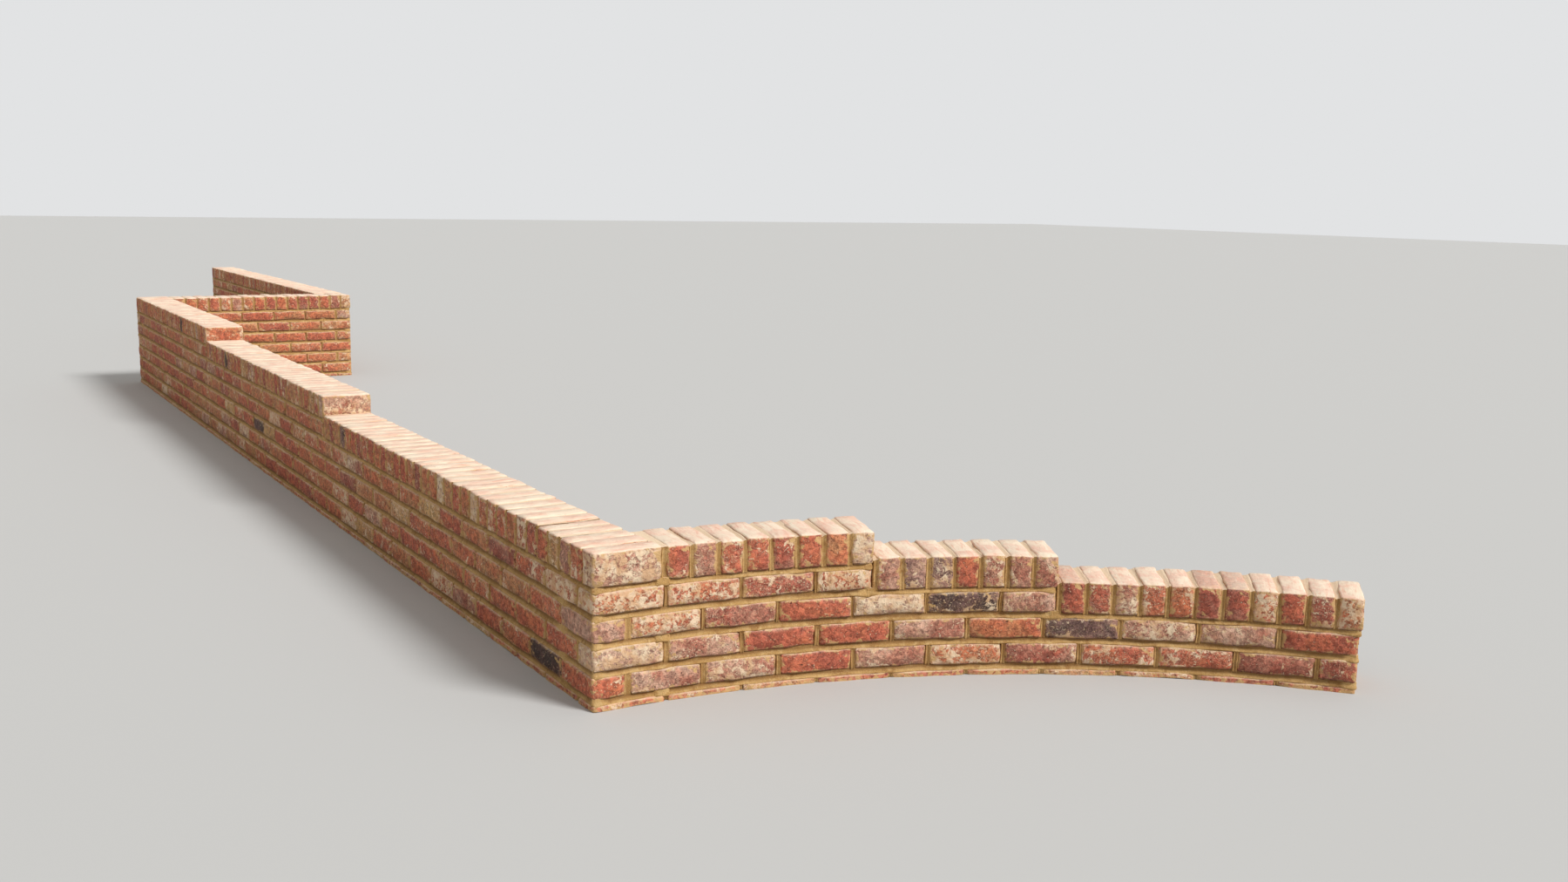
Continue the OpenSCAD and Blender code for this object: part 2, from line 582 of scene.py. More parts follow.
def facing_up(tree):
    """How far the surface faces up, from -1 to 1."""
    normal = tree.nodes.new("ShaderNodeNewGeometry").outputs["Normal"]
    return put(tree, "ShaderNodeSeparateXYZ", Vector=normal).outputs["Z"]


def spread_over(tree, level, low, high, darkest, palest):
    """A tone to multiply a colour by: from the darkest red, green and blue to the palest."""
    shades = [fade(tree, level, low, high, dark, pale) for dark, pale in zip(darkest, palest)]
    red, green, blue = shades
    return put(tree, "ShaderNodeCombineColor", Red=red, Green=green, Blue=blue).outputs[0]


def stroke(tree, level, low, high):
    """A line where the level crosses its middle: 1 within low of it, and 0 beyond high."""
    off_middle = reckon(tree, "ABSOLUTE", reckon(tree, "SUBTRACT", level, 0.5))
    return fade(tree, off_middle, low, high, 1.0, 0.0)


def drawn_out(tree, place, stretch):
    """The place with its length, width and height stretched, so that a pattern runs along the brick."""
    return put(tree, "ShaderNodeVectorMath", {"operation": "MULTIPLY"}, _0=place, _1=stretch).outputs[0]


def fired_clay(name, top_sheen_share):
    """Tumbled red stock brick: kiln colours, lime and mortar on it, creases and pits with painted shade
    in them, painted shade underneath and a painted creamy sheen on upper faces.
    """
    material, tree, shader = new_material(name)
    clay = kept_on_points(tree, "clay", "Vector")
    rim = kept_on_points(tree, "rim")
    firing = kept_on_points(tree, "firing")
    lime = kept_on_points(tree, "lime")

    # Body colour by how hard this part of the brick was fired
    cloudy = noise(tree, clay, 12, 3, 0.6, 0.4)
    fired_here = reckon(tree, "MULTIPLY_ADD", reckon(tree, "SUBTRACT", cloudy, 0.5), 0.56, firing)
    ramp = put(tree, "ShaderNodeValToRGB", Fac=fired_here)
    stops = (
        (0.00, srgb(216, 168, 108)),
        (0.14, srgb(198, 134, 92)),
        (0.27, srgb(206, 116, 80)),
        (0.40, srgb(194, 101, 76)),
        (0.52, srgb(170, 90, 73)),
        (0.63, srgb(190, 126, 104)),
        (0.74, srgb(214, 168, 144)),
        (0.83, srgb(168, 122, 109)),
        (0.90, srgb(124, 90, 84)),
        (1.00, srgb(74, 54, 50)),
    )
    for place, _ in stops[1:-1]:
        ramp.color_ramp.elements.new(place)
    for element, (place, colour) in zip(ramp.color_ramp.elements, stops):
        element.position = place
        element.color = colour
    body = ramp.outputs["Color"]

    # Creases from the mould run along the brick where it was pressed, with sandy grain and pits
    crease_level = noise(tree, drawn_out(tree, clay, (16.0, 40.0, 40.0)), 1.0, 4, 0.6, 1.6)
    crease = stroke(tree, crease_level, 0.0, 0.085)
    pressed = fade(tree, noise(tree, clay, 15, 2, 0.5), 0.50, 0.62)
    crease = times(tree, crease, pressed)
    gouges = fade(tree, noise(tree, clay, 72, 3, 0.58, 0.4), 0.44, 0.34)
    grain = noise(tree, clay, 360, 2, 0.6)
    gravel = noise(tree, clay, 120, 3, 0.6, 0.3)
    pits = fade(tree, gravel, 0.35, 0.29)
    grainy = spread_over(tree, grain, 0.25, 0.75, (0.78, 0.74, 0.72), (1.18, 1.24, 1.26))
    body = tint(tree, 1.0, body, grainy, "MULTIPLY")
    mottle = fade(tree, noise(tree, clay, 64, 4, 0.68, 0.6), 0.30, 0.70)
    mottled = spread_over(tree, mottle, 0.0, 1.0, (0.60, 0.58, 0.58), (1.27, 1.32, 1.32))
    body = tint(tree, 1.0, body, mottled, "MULTIPLY")
    # The creases, gouges and pits are darkened in colour as well: painted shade in the hollows
    body = tint(tree, times(tree, crease, 0.24), body, srgb(104, 56, 42))
    body = tint(tree, times(tree, gouges, 0.42), body, srgb(96, 58, 44))
    body = tint(tree, times(tree, pits, 0.85), body, srgb(52, 32, 28))

    # Old lime in sharp-edged patches, more of it at one end of a brick, and in scribbled veins
    end_to_end = reckon(tree, "MULTIPLY_ADD", noise(tree, clay, 6.5, 1, 0.5), 1.5, -0.75)
    lime_here = reckon(tree, "ADD", lime, end_to_end)
    lime_level = noise(tree, clay, 27, 5, 0.62, 0.7)
    near_edge = fade(tree, rim, 0.003, 0.020, 0.06, 0.0)
    lime_edge = reckon(tree, "MULTIPLY_ADD", lime_here, -0.30, 0.68)
    lime_top = reckon(tree, "ADD", lime_edge, 0.040)
    patches = fade(tree, reckon(tree, "ADD", lime_level, near_edge), lime_edge, lime_top)
    bare_specks = fade(tree, noise(tree, clay, 62, 3, 0.6, 0.5), 0.52, 0.58)
    patches = times(tree, patches, reckon(tree, "SUBTRACT", 1.0, bare_specks))
    fleck_level = reckon(tree, "MULTIPLY_ADD", lime, 0.10, noise(tree, clay, 125, 3, 0.55))
    flecks = fade(tree, fleck_level, 0.66, 0.69)
    vein_level = noise(tree, clay, 58, 4, 0.6, 2.2)
    veins = stroke(tree, vein_level, 0.006, 0.026)
    veins = times(tree, veins, fade(tree, lime_here, 0.0, 0.7, 0.12, 0.85))
    fine_lime = reckon(tree, "MAXIMUM", veins, times(tree, flecks, 0.85))
    limed = reckon(tree, "MAXIMUM", patches, fine_lime)
    lime_level = fade(tree, noise(tree, clay, 26, 3, 0.6), 0.38, 0.62)
    lime_colour = tint(tree, lime_level, srgb(224, 182, 140), srgb(246, 222, 188))
    surface = tint(tree, times(tree, limed, 0.88), body, lime_colour)

    # Mortar smeared over the edges, which are a little paler where they are worn
    worn = times(tree, fade(tree, rim, 0.012, 0.005), fade(tree, gravel, 0.4, 0.6))
    surface = tint(tree, times(tree, worn, 0.34), surface, srgb(222, 168, 136))
    smear_level = reckon(tree, "SUBTRACT", noise(tree, clay, 48, 5, 0.62), 0.5)
    ragged = reckon(tree, "MULTIPLY_ADD", smear_level, -0.062, rim)
    smear = fade(tree, ragged, 0.0050, 0.0028)
    surface = tint(tree, times(tree, smear, 0.88), surface, srgb(212, 172, 116))

    # Upper faces are painted a creamy pink, streaked along the brick: a painted sheen of sky light on
    # them
    upward = facing_up(tree)
    streak = noise(tree, drawn_out(tree, clay, (9.0, 75.0, 75.0)), 1.0, 3, 0.6, 0.8)
    top_sheen_colour = tint(tree, fade(tree, cloudy, 0.35, 0.65), srgb(246, 206, 182), srgb(252, 232, 206))
    top_sheen_colour = tint(tree, fade(tree, streak, 0.44, 0.34, 0.0, 0.6), top_sheen_colour, srgb(236, 178, 150))
    top_sheen_colour = tint(tree, fade(tree, streak, 0.56, 0.64, 0.0, 0.7), top_sheen_colour, srgb(255, 240, 216))
    top_sheen = times(tree, fade(tree, upward, 0.25, 0.8), top_sheen_share)
    top_sheen = times(tree, top_sheen, fade(tree, lime, -0.08, 0.0, 0.66, 1.0))
    top_sheen = times(tree, top_sheen, reckon(tree, "MULTIPLY_ADD", pits, -0.4, 1.0))
    surface = tint(tree, top_sheen, surface, top_sheen_colour)

    # Undersides are painted dark: painted shade under the bricks
    damp_and_shade = times(tree, fade(tree, upward, -0.12, -0.70), 0.65)
    surface = tint(tree, damp_and_shade, surface, srgb(84, 50, 38))
    tree.links.new(surface, shader.inputs["Base Color"])

    # Lumps, sandy grain, gouges and pits in relief, softer on the upper faces that carry the painted
    # sheen
    tree.links.new(fade(tree, top_sheen, 0.0, 1.0, 0.84, 0.62), shader.inputs["Roughness"])
    shader.inputs["Specular IOR Level"].default_value = 0.35
    lumps = noise(tree, clay, 30, 3, 0.55, 0.4)
    height = reckon(tree, "MULTIPLY_ADD", mottle, 0.42, times(tree, lumps, 2.4))
    height = reckon(tree, "MULTIPLY_ADD", crease, -0.12, height)
    height = reckon(tree, "MULTIPLY_ADD", gouges, -0.30, height)
    height = reckon(tree, "MULTIPLY_ADD", grain, 0.34, height)
    height = reckon(tree, "MULTIPLY_ADD", reckon(tree, "MAXIMUM", patches, flecks), 0.26, height)
    height = reckon(tree, "MULTIPLY_ADD", pits, -0.5, height)
    relief = fade(tree, top_sheen, 0.0, 1.0, 1.0, 0.5)
    bump = put(tree, "ShaderNodeBump", Strength=relief, Distance=0.0034, Height=height)
    tree.links.new(bump.outputs["Normal"], shader.inputs["Normal"])
    return material


def sand_mortar(name):
    """Yellow sand mortar: stained and gritty, with painted shade deep in the joints and a painted light
    where it faces up.
    """
    material, tree, shader = new_material(name)
    place = tree.nodes.new("ShaderNodeTexCoord").outputs["Object"]
    stain = fade(tree, noise(tree, place, 6, 4, 0.6), 0.35, 0.65)
    colour = tint(tree, stain, srgb(208, 167, 108), srgb(183, 141, 84))
    blotch = fade(tree, noise(tree, place, 42, 4, 0.6), 0.50, 0.62)
    colour = tint(tree, times(tree, blotch, 0.55), colour, srgb(220, 185, 128))
    damp_and_shade = fade(tree, noise(tree, place, 30, 4, 0.6), 0.46, 0.36)
    colour = tint(tree, times(tree, damp_and_shade, 0.6), colour, srgb(152, 106, 58))
    grit = noise(tree, place, 480, 2, 0.6)
    colour = tint(tree, fade(tree, grit, 0.56, 0.68, 0.0, 0.6), colour, srgb(138, 98, 56))
    colour = tint(tree, fade(tree, grit, 0.42, 0.32, 0.0, 0.5), colour, srgb(240, 214, 168))
    # Painted shade: the deeper the mortar lies in its joint, the darker it is painted
    sunk = fade(tree, kept_on_points(tree, "sunk"), 0.15, 0.95, 0.0, 0.85)
    colour = tint(tree, sunk, colour, srgb(126, 86, 48))
    # Painted light: mortar that faces up is painted paler, as if lit from above
    painted_top_light = fade(tree, facing_up(tree), 0.72, 0.95, 0.0, 0.95)
    colour = tint(tree, painted_top_light, colour, srgb(248, 222, 190))
    tree.links.new(colour, shader.inputs["Base Color"])
    shader.inputs["Roughness"].default_value = 0.92
    shader.inputs["Specular IOR Level"].default_value = 0.25
    rough_level = noise(tree, place, 90, 4, 0.65)
    height = reckon(tree, "MULTIPLY_ADD", rough_level, 1.6, times(tree, grit, 0.8))
    bump = put(tree, "ShaderNodeBump", Strength=0.9, Distance=0.0018, Height=height)
    tree.links.new(bump.outputs["Normal"], shader.inputs["Normal"])
    return material


# The number given to each brick material is how strong the painted sheen on its upper faces is
facing_brick = fired_clay("Facing brick", 0.42)
mortar = sand_mortar("Sand mortar")

# The raked joints: each pair is a place across the joint and how far the mortar lies there behind
# the wall's face. A bed joint has its lip on the bricks below and is deepest under those above, and an
# upright joint is round. The outermost places lie inside the bricks.
BED_SHAPE = (
    (-0.0050, 0.0110),
    (-0.0010, 0.0064),
    (0.0025, 0.0074),
    (0.0065, 0.0098),
    (0.0105, 0.0116),
    (0.0155, 0.0118),
    (0.0200, 0.0126),
)
JOINT_SHAPE = (
    (-0.0050, 0.0110),
    (-0.0010, 0.0072),
    (0.0030, 0.0096),
    (0.0075, 0.0106),
    (0.0120, 0.0096),
    (0.0160, 0.0072),
    (0.0200, 0.0110),
)
BED_STEP = 0.04
BED_CORNER = 0.012
CORNER_FILL = 0.38
END_CUT = 0.03
END_ON = 0.99
JOINT_FOOT = 0.006
TOP_CUTS = (0.33, 0.67)
LIP_DEPTH = 0.0064
JOINT_DEEPEST = 0.0140
TROWEL_WAVE = 0.0075
WAVE_SIZE = 0.04
WAVE_SOFT_BELOW = math.radians(60)
trowel_waves = clouds("Trowel waves", WAVE_SIZE)


def joint_depth(shape, place):
    """How far the mortar lies behind the face at the shape's nearest place."""
    return min(shape, key=lambda pair: abs(pair[0] - place))[1]


def model_bed(run_long):
    """Models a bed joint lying along X: a slab through the wall, with the raked groove round its rim."""
    low, high = BED_SHAPE[0][0], BED_SHAPE[-1][0]
    middle = (run_long / 2, WALL_THICK / 2, (low + high) / 2)
    bed = new_block(middle, (run_long, WALL_THICK, high - low))
    bpy.ops.object.mode_set(mode="EDIT")
    select_where("EDGE", lambda edge: abs(edge.verts[0].co.z - edge.verts[1].co.z) > TOUCHING)
    bpy.ops.mesh.bevel(offset=BED_CORNER, segments=1, affect="EDGES")
    select_where("EDGE", lambda edge: abs(edge.verts[0].co.x - edge.verts[1].co.x) > run_long / 2)
    bpy.ops.mesh.subdivide(number_cuts=max(1, round(run_long / BED_STEP)))
    for place in (END_CUT, WALL_THICK - END_CUT):
        select_where("FACE", lambda face: abs(face.normal.x) > END_ON)
        bpy.ops.mesh.bisect(plane_co=(0, place, 0), plane_no=(0, 1, 0))
    cut_across(2, [height for height, depth in BED_SHAPE[1:-1]])
    bpy.ops.object.mode_set(mode="OBJECT")
    for point in bed.data.vertices:
        to_end = min(point.co.x, run_long - point.co.x)
        to_face = min(point.co.y, WALL_THICK - point.co.y)
        at_corner = max(to_end, to_face) < BED_CORNER + TOUCHING
        depth = joint_depth(BED_SHAPE, point.co.z) * (CORNER_FILL if at_corner else 1)
        if to_face < TOUCHING:
            point.co.y += depth if point.co.y < WALL_THICK / 2 else -depth
        if to_end < TOUCHING:
            point.co.x += depth if point.co.x < run_long / 2 else -depth
    mark_sunk(bed, run_long)
    return bed


def model_upright_joint(name, deep, high, top_depths=None):
    """Models an upright joint facing -Y, with a groove up it. One with a top shows on top and behind."""
    wide = JOINT_SHAPE[-1][0] - JOINT_SHAPE[0][0]
    joint = new_block((0, deep / 2, high / 2), (wide, deep, high))
    joint.name = name
    bpy.ops.object.mode_set(mode="EDIT")
    cut_across(0, [place - MORTAR_JOINT / 2 for place, depth in JOINT_SHAPE[1:-1]])
    if top_depths:
        cut_across(1, [deep * share for share in TOP_CUTS])
        cut_across(2, [high / 2])
    else:
        cut_across(2, [JOINT_FOOT, high / 2])
    bpy.ops.object.mode_set(mode="OBJECT")
    places = [place for place, depth in JOINT_SHAPE]
    for point in joint.data.vertices:
        across = point.co.x + MORTAR_JOINT / 2
        depth = joint_depth(JOINT_SHAPE, across)
        if top_depths and point.co.z > high - TOUCHING:
            point.co.z -= top_depths[min(range(len(places)), key=lambda n: abs(places[n] - across))]
        if not top_depths and point.co.z < TOUCHING:
            depth = BED_SHAPE[-2][1]
        if point.co.y < TOUCHING:
            point.co.y += depth
        elif top_depths and point.co.y > deep - TOUCHING:
            point.co.y -= depth
    mark_sunk(joint)
    return joint


def mark_sunk(piece, bed_long=None):
    """Keeps on each point of mortar how deep it lies in its joint, which sets how much painted shade its
    colour gets.
    """
    shape = piece.data
    shape.attributes.new("sunk", "FLOAT", "POINT")
    sunk = shape.attributes["sunk"].data
    for number, point in enumerate(shape.vertices):
        behind = min(point.co.y, WALL_THICK - point.co.y)
        if bed_long:
            behind = min(behind, point.co.x, bed_long - point.co.x)
        sunk[number].value = (behind - LIP_DEPTH) / (JOINT_DEEPEST - LIP_DEPTH)


def bend_round_curve(piece):
    """Takes a shape laid out straight, X along the hollow face and Y into the wall, round the curve."""
    for point in piece.data.vertices:
        away = away_from_centre(point.co.x / CURVE_RADIUS) * (CURVE_RADIUS + point.co.y)
        point.co = CURVE_CENTRE + away + Vector((0, 0, point.co.z))


def wave(piece):
    """The small unevenness that the trowel and the iron leave in mortar, and its soft shading."""
    bpy.context.view_layer.objects.active = piece
    piece.select_set(True)
    uneven(piece, trowel_waves, TROWEL_WAVE)
    bpy.ops.object.shade_smooth_by_angle(angle=WAVE_SOFT_BELOW)
    piece.select_set(False)


def straight_run(start, along, inward):
    """Where a shape that is laid out along X, with Y into the wall, stands in a straight wall."""
    columns = (Vector((*along, 0)), Vector((*inward, 0)), Vector((0, 0, 1)))
    return Matrix.Translation((*start, 0)) @ Matrix(columns).transposed().to_4x4()


OVERLAP = 0.001
PERPEND_HIGH = BRICK_HIGH + 2 * OVERLAP
SKIN_GAP = 0.004
LAP = 0.03
COLLAR_JOINT = 0.011
perpend = model_upright_joint("perpend", BRICK_WIDE - SKIN_GAP, PERPEND_HIGH)


def spread_bed(start, stop, bottom, run, laid, free=(True, True)):
    """Spreads a bed joint from start to stop. An end that isn't free laps into the wall that it meets."""
    start = start if free[0] else start - LAP
    stop = stop if free[1] else stop + LAP
    bed = model_bed(stop - start)
    bed.data.transform(Matrix.Translation((start, 0, bottom)))
    if run is None:
        bend_round_curve(bed)
    else:
        bed.data.transform(run)
    laid.append(bed)


def fill_perpend(face, distance, wide, bottom, high, laid):
    """Fills the upright joint between two bricks of a face."""
    point, outward = face(distance)
    joint = copy_of(perpend, "perpend")
    seat = facing(point + outward * FACE_SET_BACK, outward, bottom - OVERLAP)
    size = Matrix.Diagonal((wide / MORTAR_JOINT, 1, (high + 2 * OVERLAP) / PERPEND_HIGH, 1))
    joint.data.transform(seat @ size)
    laid.append(joint)


def fill_collar(start, along, outward, bottom, high, laid):
    """Fills the joint between the two skins where they show side by side at a wall's plain end."""
    end_face = straight_face(start, along, outward)
    fill_perpend(end_face, HALF_WALL, COLLAR_JOINT, bottom, high, laid)


SHORT_BRICK = 0.12
MOST_SHORTER = 0.0035
LEAST_HIGH = 0.968
HEADER_SHARE = 0.98
BASE_TURN, BASE_SHIFT = 0.3, 0.0004


def lay_face(face, row, bottom, laid, filled, base=False, chosen=None, bend_end=None):
    """Lays one face of a course: its bricks, turned this way and that, and the joints between them."""
    start, stop, first, last, ends = row
    bricks, joint = bond(start, stop, first, last)
    high = BASE_HIGH if base else BRICK_HIGH
    for number, (middle, length) in enumerate(bricks):
        at_start = number == 0 and ends[0] == "shown"
        at_stop = number == len(bricks) - 1 and ends[1] in ("shown", "header", "beside header")
        kind = (chosen or {}).get(number)
        point, outward = face(middle, length)
        seat = facing(point, outward, bottom)
        if bend_end and number == 0:
            seat = bend_end(seat)
        if at_stop and ends[1] == "beside header":
            continue
        if at_stop and ends[1] == "header":
            size = (length / BRICK_WIDE, HEADER_SHARE, high / BRICK_HIGH)
            set_brick(mason.choice(through_headers), seat @ jog(), laid, kind, size)
            continue
        if base:
            pattern = mason.choice(base_corners if at_start or at_stop else base_stretchers)
            size = (length / BRICK_LONG, 1, 1)
            set_brick(pattern, seat @ jog(BASE_TURN, BASE_SHIFT), laid, kind, size)
            continue
        if at_start or at_stop:
            pattern, whole = mason.choice(corner_stretchers), BRICK_LONG
        elif length < SHORT_BRICK:
            pattern, whole = mason.choice(half_bricks), BRICK_WIDE
        else:
            pattern, whole = mason.choice(stretchers), BRICK_LONG
        if mason.random() < 0.5:
            seat = seat @ Matrix.Translation((0, 0, BRICK_HIGH)) @ Matrix.Rotation(math.pi, 4, "Y")
        shorter = mason.uniform(0, MOST_SHORTER)
        lower = mason.uniform(LEAST_HIGH, 1.0)
        set_brick(pattern, seat @ jog(), laid, kind, ((length - shorter) / whole, 1, lower))
    for (before, before_long), (after, after_long) in zip(bricks, bricks[1:]):
        middle = (before + before_long / 2 + after - after_long / 2) / 2
        fill_perpend(face, middle, joint, bottom, high, filled)
    if ends[0] == "joint":
        fill_perpend(face, start - MORTAR_JOINT / 2, MORTAR_JOINT, bottom, high, filled)
    if ends[1] == "joint":
        fill_perpend(face, stop + MORTAR_JOINT / 2, MORTAR_JOINT, bottom, high, filled)


def course_bottom(number):
    """Height of the underside of a course, which is that of its bed joint."""
    return 0.0 if number == 0 else BASE_HIGH + (number - 1) * COURSE_PITCH


def keep_in_box(piece):
    """Presses back what stands out of the whole wall's box."""
    low, high = cad_bounds
    for point in piece.data.vertices:
        point.co = [min(max(value, low[axis]), high[axis]) for axis, value in enumerate(point.co)]


def finish_course(name, laid, filled, clay_material):
    """Joins a course's bricks and its mortar as two pieces."""
    pointing = join_as(f"{name}_mortar", filled, mortar, name)
    wave(pointing)
    keep_in_box(pointing)
    bricks = join_as(f"{name}_bricks", laid, clay_material, name)
    keep_in_box(bricks)


long_run = straight_run((HALF_WALL, 0), (0, 1), (-1, 0))
return_run = straight_run((0, LONG_END - WALL_THICK), (1, 0), (0, 1))
back_run = straight_run((RETURN_END, 0), (0, 1), (-1, 0))
long_outer = straight_face((-HALF_WALL, 0), (0, 1), (-1, 0))
long_inner = straight_face((HALF_WALL, 0), (0, 1), (1, 0))
return_outer = straight_face((0, LONG_END), (1, 0), (0, 1))
return_inner = straight_face((0, LONG_END - WALL_THICK), (1, 0), (0, -1))
back_outer = straight_face((RETURN_END, 0), (0, 1), (1, 0))
back_inner = straight_face((RETURN_END - WALL_THICK, 0), (0, 1), (-1, 0))
SHOWN = 0.003
HEADER_STEP = BRICK_WIDE + MORTAR_JOINT
STEP_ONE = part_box("long_middle_coping")[0].y
STEP_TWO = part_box("long_far_coping")[0].y
CORNER_SLOPE = (CURVE_RADIUS - math.sqrt(CURVE_RADIUS**2 - WALL_THICK**2)) / WALL_THICK
HIGH_BAY, MIDDLE_BAY, LOW_BAY = 8, 7, 11
curved_bays = [BRICK_LONG]
for headers in (HIGH_BAY, MIDDLE_BAY, LOW_BAY):
    curved_bays.append(curved_bays[-1] + headers * COURSE_PITCH)
ROUND_SHARE = (CURVE_RADIUS + WALL_THICK) / CURVE_RADIUS


def is_odd(number):
    return number % 2 == 1


def curved_stop(number):
    """How far round the curve a course runs: to the plain end, or above the low courses to a step."""
    return curved_bays[-1 - max(0, number - LOW_COURSES)]


def long_rows(number):
    """Where the bricks of the long wall's outer and inner face start and stop in this course."""
    odd = is_odd(number)
    outer_end = (LONG_END - SHOWN, "shown") if odd else (LONG_END - HEADER_STEP, "joint")
    inner_end = LONG_END - HEADER_STEP if odd else LONG_END - WALL_THICK - MORTAR_JOINT
    if number == CORNER_COURSES + 1:
        outer = (STEP_ONE + SHOWN, BRICK_LONG, "shown")
        inner = (STEP_ONE + SHOWN, BRICK_WIDE, "shown")
    elif number == TOP_COURSES:
        outer = (STEP_TWO + SHOWN, BRICK_WIDE, "shown")
        inner = (STEP_TWO + SHOWN, BRICK_LONG, "shown")
    elif odd:
        outer = (-HALF_WALL + SHOWN, BRICK_LONG, "shown")
        inner = (-HALF_WALL + HEADER_STEP, BRICK_LONG, "joint")
    else:
        outer = (-HALF_WALL + HEADER_STEP, BRICK_LONG, "joint")
        inner = (HALF_WALL + MORTAR_JOINT, BRICK_LONG, "joint")
    return (
        (outer[0], outer_end[0], outer[1], BRICK_LONG, (outer[2], outer_end[1])),
        (inner[0], inner_end, inner[1], BRICK_LONG, (inner[2], "joint")),
    )


def curved_rows(number):
    """The same for the curved wall's hollow and round face."""
    odd = is_odd(number)
    stop = curved_stop(number)
    start = HEADER_STEP if odd else SHOWN
    if number > LOW_COURSES:
        last, ends = None, ("shown", "shown")
    elif odd:
        last, ends = BRICK_WIDE, ("header", "beside header")
    else:
        last, ends = BRICK_LONG, ("shown", "shown")
    back_start = WALL_THICK + MORTAR_JOINT if odd else HEADER_STEP
    return (
        (start, stop - SHOWN, BRICK_LONG, last, ("joint" if odd else "shown", ends[0])),
        (back_start, stop * ROUND_SHARE - SHOWN, BRICK_WIDE, last, ("joint", ends[1])),
    )


def return_rows(number):
    """The same for the return's outer and inner face."""
    if is_odd(number):
        start = -HALF_WALL + HEADER_STEP
        outer = (start, RETURN_END - HEADER_STEP, BRICK_LONG, None, ("joint", "joint"))
        start = HALF_WALL + MORTAR_JOINT
        inner = (start, RETURN_END - SHOWN, BRICK_WIDE, BRICK_LONG, ("joint", "shown"))
    else:
        stop = RETURN_END - WALL_THICK - MORTAR_JOINT
        outer = (-HALF_WALL + SHOWN, stop, BRICK_LONG, None, ("shown", "joint"))
        stop = RETURN_END - HEADER_STEP
        inner = (-HALF_WALL + HEADER_STEP, stop, BRICK_WIDE, BRICK_LONG, ("joint", "joint"))
    return outer, inner


def back_rows(number):
    """The same for the back wall's outer and inner face."""
    low = LONG_END - WALL_THICK
    if is_odd(number):
        outer = (low + HEADER_STEP, BACK_END - SHOWN, BRICK_LONG, BRICK_WIDE, ("joint", "header"))
        start = LONG_END + MORTAR_JOINT
        inner = (start, BACK_END - SHOWN, BRICK_WIDE, BRICK_WIDE, ("joint", "beside header"))
    else:
        outer = (low + SHOWN, BACK_END - SHOWN, BRICK_LONG, BRICK_LONG, ("shown", "shown"))
        start = low + HEADER_STEP
        inner = (start, BACK_END - SHOWN, BRICK_WIDE, BRICK_LONG, ("joint", "shown"))
    return outer, inner


def fill_plain_end(wall, number, bottom, high, filled):
    """Fills the collar joint at the plain end of the curved wall or of the back wall, in even courses."""
    if is_odd(number) or (wall == "curved" and number > LOW_COURSES):
        return
    if wall == "back":
        fill_collar((RETURN_END, BACK_END), (-1, 0), (0, 1), bottom, high, filled)
    if wall == "curved":
        away = away_from_centre(curved_bays[-1] / CURVE_RADIUS)
        foot = CURVE_CENTRE + away * CURVE_RADIUS
        fill_collar((foot.x, foot.y), (away.x, away.y), (away.y, -away.x), bottom, high, filled)


def square_corner(seat):
    """Cuts the curved wall's corner brick so that its end lies in the long wall's face."""
    slope = Matrix.Identity(4)
    slope[1][0] = -CORNER_SLOPE
    slope[1][3] = -CORNER_SLOPE * HALF_WALL
    middle = Vector((-HALF_WALL + SHOWN + BRICK_LONG / 2, -HALF_WALL + FACE_SET_BACK))
    return slope @ Matrix.Translation((middle.x, middle.y, seat.translation.z))


WALLS = {
    "long": (long_outer, long_inner, long_rows),
    "curved": (hollow_face, round_face, curved_rows),
    "return": (return_outer, return_inner, return_rows),
    "back": (back_outer, back_inner, back_rows),
}


def lay_course(wall, number, beds, noted=None):
    """Lays one course of a wall: its bed joints, and the bricks and upright joints of both its faces."""
    laid, filled = [], []
    bottom = course_bottom(number)
    seat = bottom + MORTAR_JOINT if number else bottom
    one_face, other_face, rows = WALLS[wall]
    for start, stop, run, free in beds:
        spread_bed(start, stop, bottom, run, filled, free)
    for face, row in zip((one_face, other_face), rows(number)):
        chosen = noted if face is one_face else None
        squared = square_corner if face is hollow_face and not is_odd(number) else None
        lay_face(face, row, seat, laid, filled, number == 0, chosen, squared)
    fill_plain_end(wall, number, seat, BRICK_HIGH if number else BASE_HIGH, filled)
    name = f"{wall}_course_{number}" if number else f"{wall}_base_course"
    finish_course(name, laid, filled, facing_brick)


for wall in WALLS:
    lay_course(wall, 0, [])


# The long wall's courses: stretchers lapped by half a brick, in two skins, one for each face.
# In odd courses its bricks run out to the corners and in even ones those of the wall it meets do.
# Beside the corner the kinds of a few bricks were noted, by course and number.
CORNER_BRICKS = {1: {0: "red", 1: "burnt"}, 3: {0: "mauve"}}
for number in range(1, TOP_COURSES + 1):
    odd = is_odd(number)
    start = {CORNER_COURSES + 1: STEP_ONE, TOP_COURSES: STEP_TWO}.get(number, HALF_WALL)
    stop = LONG_END if odd else LONG_END - WALL_THICK
    beds = [(start, stop, long_run, (number > CORNER_COURSES, odd))]
    if odd and number <= CORNER_COURSES:
        beds.append((0, WALL_THICK, None, (True, False)))
    lay_course("long", number, beds, CORNER_BRICKS.get(number))


